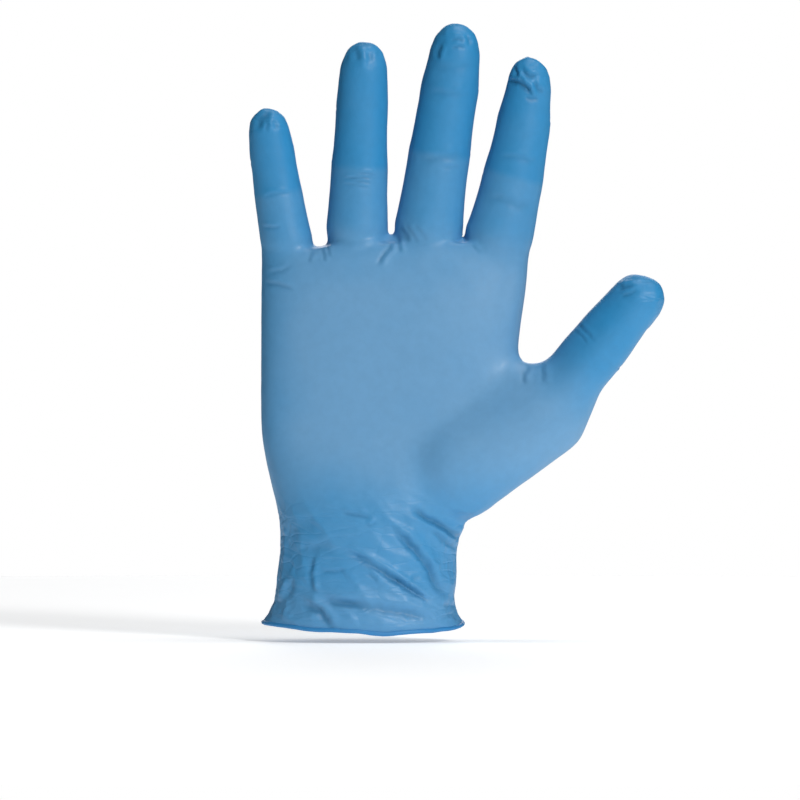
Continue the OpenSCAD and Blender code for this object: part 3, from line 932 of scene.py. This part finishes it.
def floor_material():
    material, tree, shader = new_material("pale_floor")
    place = node(tree, "ShaderNodeTexCoord").outputs["Object"]
    grain = node(tree, "ShaderNodeTexNoise", {"Vector": place, "Scale": 60.0, "Detail": 4.0})
    tint = mapped(tree, grain.outputs["Fac"], 0.3, 0.7, 0.92, 0.94)
    colour = node(tree, "ShaderNodeCombineColor", {"Red": tint, "Green": tint, "Blue": tint})
    tree.links.new(colour.outputs[0], shader.inputs["Base Color"])
    shader.inputs["Roughness"].default_value = 0.8
    shader.inputs["Emission Color"].default_value = (1, 1, 1, 1)
    shader.inputs["Emission Strength"].default_value = 0.35
    return material


# ------------------------------------------------------------------ stage

FLOOR_DROP = 0.003            # metres from the CAD's lowest place down to the floor
FLOOR_RADIUS = 0.9
# Each light's name, place, size and power, in metres and watts
LIGHTS = (
    ("key", (1.15, -1.9, 1.15), 0.5, 32),
    ("fill", (-0.7, -2.3, 0.5), 1.2, 1),
    ("top", (0.4, -0.1, 2.0), 0.9, 14),
    ("back", (0.1, 2.3, 1.1), 1.6, 18),
)
VIEW_SPAN = 0.296             # metres across the picture at the glove
VIEW_DISTANCE = 2.4
VIEW_CENTRE = (0.368, 0.383)  # the picture's middle, as shares of the CAD's width and height


def area_light(name, place, target, size, power):
    light = bpy.data.lights.new(name, "AREA")
    light.shape = "DISK"
    light.size, light.energy = size, power
    lamp = bpy.data.objects.new(name, light)
    lamp.location = place
    lamp.rotation_euler = (Vector(target) - Vector(place)).to_track_quat("-Z", "Y").to_euler()
    bpy.context.scene.collection.objects.link(lamp)


def build_stage():
    """A pale floor under the glove, soft light mostly from the thumb's side, and a white
    surround that lights only softly."""
    bpy.ops.mesh.primitive_circle_add(vertices=96, radius=FLOOR_RADIUS, fill_type="NGON",
                                      location=(0, 0, cad_low[2] - FLOOR_DROP))
    floor = bpy.context.object
    floor.name = "floor"
    floor.data.materials.append(floor_material())
    middle = (cad_low + cad_high) / 2
    for name, place, size, power in LIGHTS:
        area_light(name, place, middle, size, power)
    world = bpy.data.worlds.new("surround")
    bpy.context.scene.world = world
    world.use_nodes = True
    tree = world.node_tree
    tree.nodes.clear()
    seen = node(tree, "ShaderNodeBackground", {"Color": (1, 1, 1, 1), "Strength": 1.0})
    lights = node(tree, "ShaderNodeBackground", {"Color": (0.85, 0.93, 1, 1), "Strength": 0.05})
    camera_ray = node(tree, "ShaderNodeLightPath").outputs["Is Camera Ray"]
    both = node(tree, "ShaderNodeMixShader", {0: camera_ray, 1: lights.outputs[0],
                2: seen.outputs[0]})
    node(tree, "ShaderNodeOutputWorld", {"Surface": both.outputs[0]})
    bpy.context.scene.view_settings.view_transform = "Standard"


def build_camera():
    """A long lens, square on to the palm, level with its lower half."""
    width, height = cad_high[0] - cad_low[0], cad_high[2] - cad_low[2]
    centre = Vector((cad_low[0] + VIEW_CENTRE[0] * width, 0,
                     cad_low[2] + VIEW_CENTRE[1] * height))
    camera = bpy.data.cameras.new("camera")
    camera.sensor_width = 36
    camera.lens = camera.sensor_width * VIEW_DISTANCE / VIEW_SPAN
    camera.clip_end = 50
    view = bpy.data.objects.new("camera", camera)
    view.location = centre - Vector((0, VIEW_DISTANCE, 0))
    view.rotation_euler = (math.radians(90), 0, 0)
    bpy.context.scene.collection.objects.link(view)
    bpy.context.scene.camera = view


# ------------------------------------------------------------------ the glove

FILM_BLUE = (0.030, 0.270, 0.560, 1)      # where it lies slack
PALE_BLUE = (0.142, 0.350, 0.590, 1)      # where it is stretched
BEAD_BLUE = (0.034, 0.240, 0.540, 1)

points, quads = grown_skin()
normals = normals_of(points, quads)
if ((points - points.mean(0)) * normals).sum() < 0:
    quads, normals = quads[:, ::-1], -normals

points = eased(points, normals, quads)
height, shade, loose_film = relief(points, normals)
points = points + normals * height[:, None]
normals = normals_of(points, quads)
# The crease shade layer is painted shade for the grooves of folds and creases
layers = {"rest": points, "normal": normals, "tone": stretch(points), "crease": shade,
          "loose": loose_film}
pieces = build_pieces(cut_skin(points, quads, layers))
place_pieces(pieces)
film = nitrile("nitrile_film", FILM_BLUE, PALE_BLUE, 0.05)
bead = nitrile("nitrile_bead", BEAD_BLUE, BEAD_BLUE, 0.04)
for name, piece in pieces.items():
    piece.data.materials.append(bead if name == "bead" else film)
build_stage()
build_camera()
